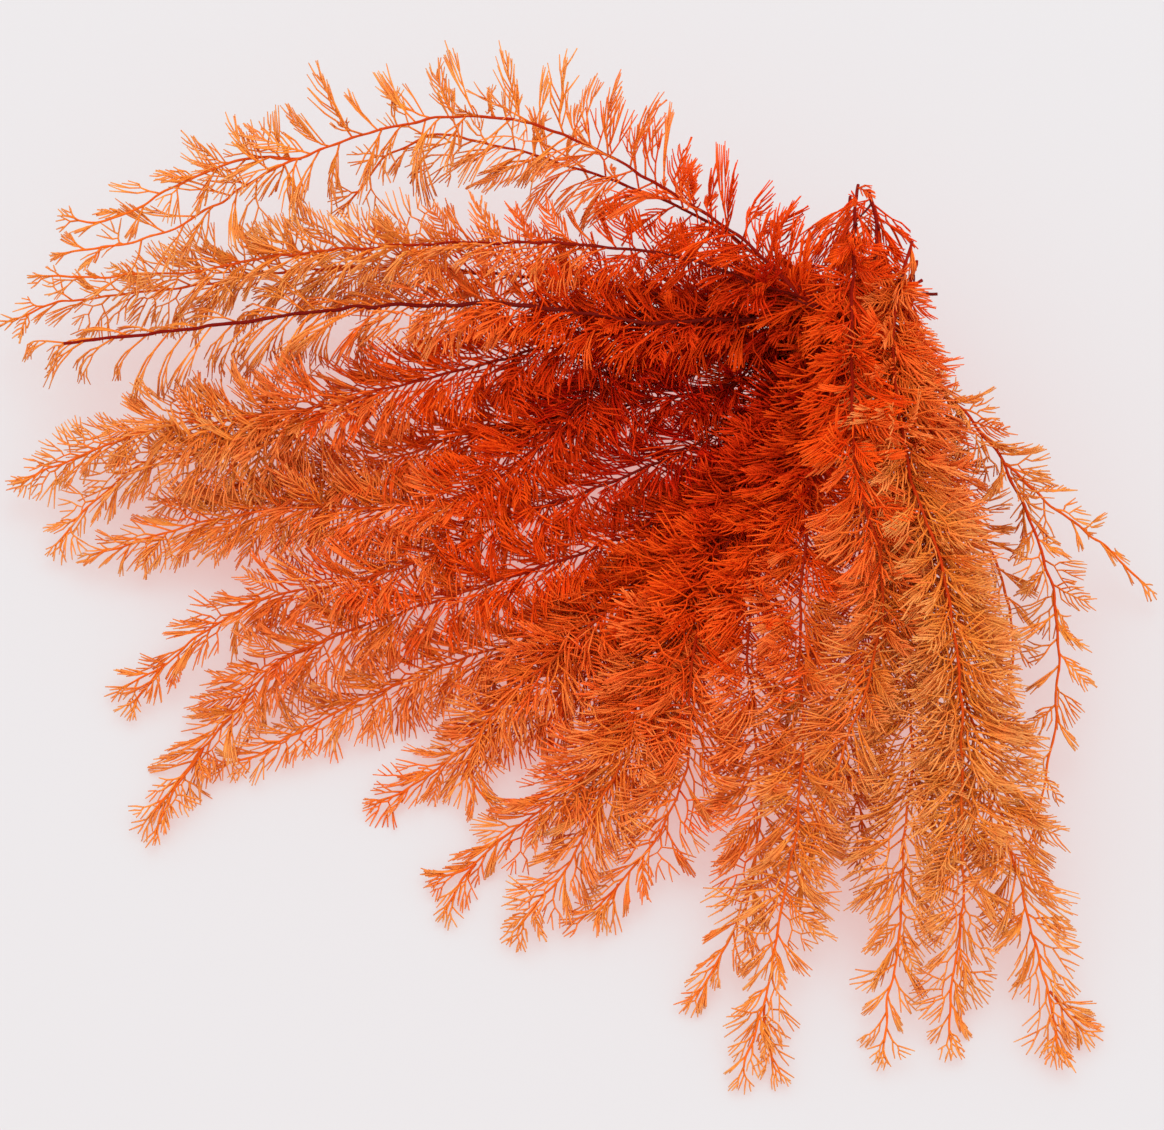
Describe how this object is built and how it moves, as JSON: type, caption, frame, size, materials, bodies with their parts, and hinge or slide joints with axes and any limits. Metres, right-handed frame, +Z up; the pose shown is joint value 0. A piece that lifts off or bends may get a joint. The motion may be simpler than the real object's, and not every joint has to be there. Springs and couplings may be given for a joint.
{
  "type": "air fern",
  "caption": "Loose bunch of dried sea-fir fronds, dyed orange, lying fanned out on a surface with its cut ends gathered at one corner.",
  "frame": {"origin": "the middle of the bunch's footprint, on the surface it lies on", "axes": "+X along the bunch's longest side, from the tips of the long fronds towards the cut ends; +Z up"},
  "size_m": [0.425, 0.3682, 0.1084],
  "materials": {
    "frond": "dry and horny, dyed orange, dark red towards the cut ends"
  },
  "bodies": {
    "root": {"frond_01": "frond", "frond_01_fork": "frond", "frond_02": "frond", "frond_03": "frond", "frond_04": "frond", "frond_04_fork": "frond", "frond_05": "frond", "frond_06": "frond", "frond_07": "frond", "frond_08": "frond", "frond_08_fork": "frond", "frond_09": "frond", "frond_10": "frond", "frond_10_fork": "frond", "frond_11": "frond", "frond_12": "frond", "frond_13": "frond", "frond_13_fork": "frond", "frond_14": "frond", "frond_14_fork": "frond", "frond_15": "frond", "frond_16": "frond", "frond_17": "frond", "frond_18": "frond", "frond_18_fork": "frond", "frond_19": "frond", "frond_19_fork": "frond", "frond_20": "frond", "frond_21": "frond", "frond_21_fork": "frond", "frond_22": "frond", "frond_23": "frond", "frond_24": "frond", "frond_25": "frond"}
  },
  "joints": []
}
